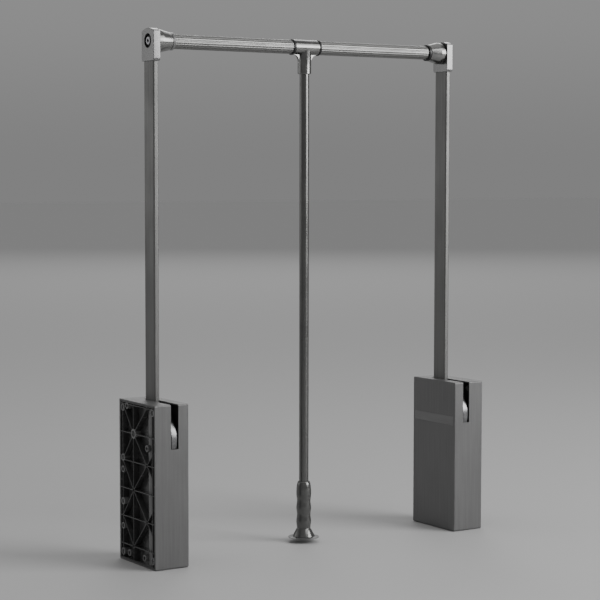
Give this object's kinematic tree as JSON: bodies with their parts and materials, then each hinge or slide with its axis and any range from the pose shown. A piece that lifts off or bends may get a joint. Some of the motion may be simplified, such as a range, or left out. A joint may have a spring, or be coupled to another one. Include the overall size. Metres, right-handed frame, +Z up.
{
  "type": "pull down wardrobe rail",
  "caption": "Pull-down wardrobe rail: sprung arms swing out of side housings and lower a telescopic hanging rail, drawn down by a hanging pull rod with a shaped grip.",
  "frame": {"origin": "bottom centre of the bounding box: halfway between the two wall faces, in the plane of the housings' bottoms", "axes": "+Z up along the raised arms, +X along the hanging rail to the right-hand housing, -Y out of the wardrobe towards the person who pulls"},
  "size_m": [0.648, 0.12, 0.85],
  "materials": {
    "cover_metal": "satin grey coating with a vertical brushed grain",
    "black_plastic": "moulded black plastic, half gloss",
    "arm_metal": "satin dark grey coating",
    "cast_metal": "die-cast metal, satin grey coating",
    "bright_steel": "turned or plated steel",
    "rail_metal": "satin grey coating on a fluted tube",
    "spring_steel": "oiled spring steel",
    "rubber": "matt black rubber",
    "grip_plastic": "moulded dark grey plastic, half gloss"
  },
  "bodies": {
    "left_gearbox": {"left_housing_cover": "cover_metal", "left_base_plate": "black_plastic", "left_stop_buffer": "rubber", "left_outer_bush": "black_plastic", "left_inner_bush": "black_plastic", "left_spring_tube": "bright_steel", "left_return_spring": "spring_steel", "left_base_screw_1": "bright_steel", "left_base_screw_2": "bright_steel", "left_base_screw_3": "bright_steel", "left_base_screw_4": "bright_steel", "left_base_screw_5": "bright_steel", "left_base_screw_6": "bright_steel"},
    "left_piston": {"left_plunger": "bright_steel"},
    "left_arm": {"left_crank_roller": "black_plastic", "left_crank_pin": "bright_steel", "left_pivot_axle": "bright_steel", "left_crank_hub": "bright_steel", "left_arm_rivet": "bright_steel", "left_arm_tube": "arm_metal", "left_head_bracket": "cast_metal", "left_head_bolt": "bright_steel", "left_rail_cup": "cast_metal", "left_cup_ring": "black_plastic", "left_rail_tube": "rail_metal"},
    "rail_middle": {"rail_core": "rail_metal", "left_stop_ring": "black_plastic", "right_stop_ring": "black_plastic"},
    "hanging_rod": {"tee_connector": "cast_metal", "tee_screw": "bright_steel", "pull_rod": "rail_metal", "hand_grip": "grip_plastic", "grip_foot": "black_plastic"},
    "right_arm": {"right_crank_roller": "black_plastic", "right_crank_pin": "bright_steel", "right_pivot_axle": "bright_steel", "right_crank_hub": "bright_steel", "right_arm_rivet": "bright_steel", "right_arm_tube": "arm_metal", "right_head_bracket": "cast_metal", "right_head_bolt": "bright_steel", "right_rail_cup": "cast_metal", "right_cup_ring": "black_plastic", "right_rail_tube": "rail_metal"},
    "right_gearbox": {"right_housing_cover": "cover_metal", "right_base_plate": "black_plastic", "right_stop_buffer": "rubber", "right_outer_bush": "black_plastic", "right_inner_bush": "black_plastic", "right_spring_tube": "bright_steel", "right_return_spring": "spring_steel", "right_base_screw_1": "bright_steel", "right_base_screw_2": "bright_steel", "right_base_screw_3": "bright_steel", "right_base_screw_4": "bright_steel", "right_base_screw_5": "bright_steel", "right_base_screw_6": "bright_steel"},
    "right_piston": {"right_plunger": "bright_steel"}
  },
  "joints": [
    {"name": "arm_swing", "type": "hinge", "parent": "left_gearbox", "child": "left_arm", "pos_m": [-0.289, 0.013, 0.208], "axis": [1, 0, 0], "range_deg": [0, 90], "stiffness_Nm_per_rad": 8, "springref_deg": -34.38},
    {"name": "left_plunger_slide", "type": "slide", "parent": "left_gearbox", "child": "left_piston", "axis": [0, 0, 1], "range_m": [-0.052, 0], "deforming": ["left_return_spring"]},
    {"name": "rail_slide", "type": "slide", "parent": "left_arm", "child": "rail_middle", "axis": [1, 0, 0], "range_m": [0, 0.09]},
    {"name": "rod_swing", "type": "hinge", "parent": "rail_middle", "child": "hanging_rod", "pos_m": [0, 0.013, 0.83], "axis": [1, 0, 0], "range_deg": [-120, 30]},
    {"name": "right_rail_slide", "type": "slide", "parent": "rail_middle", "child": "right_arm", "axis": [1, 0, 0], "range_m": [0, 0.09]},
    {"name": "right_swing", "type": "hinge", "parent": "right_arm", "child": "right_gearbox", "pos_m": [0.289, 0.013, 0.208], "axis": [1, 0, 0], "range_deg": [-90, 0]},
    {"name": "right_plunger_slide", "type": "slide", "parent": "right_gearbox", "child": "right_piston", "axis": [0, 0, 1], "range_m": [-0.052, 0], "deforming": ["right_return_spring"]}
  ],
  "couplings": [
    {"joint": "left_plunger_slide", "follows": "arm_swing", "m_per_rad": -0.03285},
    {"joint": "right_plunger_slide", "follows": "arm_swing", "m_per_rad": -0.03285},
    {"joint": "right_swing", "follows": "arm_swing", "ratio": -1},
    {"joint": "right_rail_slide", "follows": "rail_slide", "ratio": 1}
  ]
}
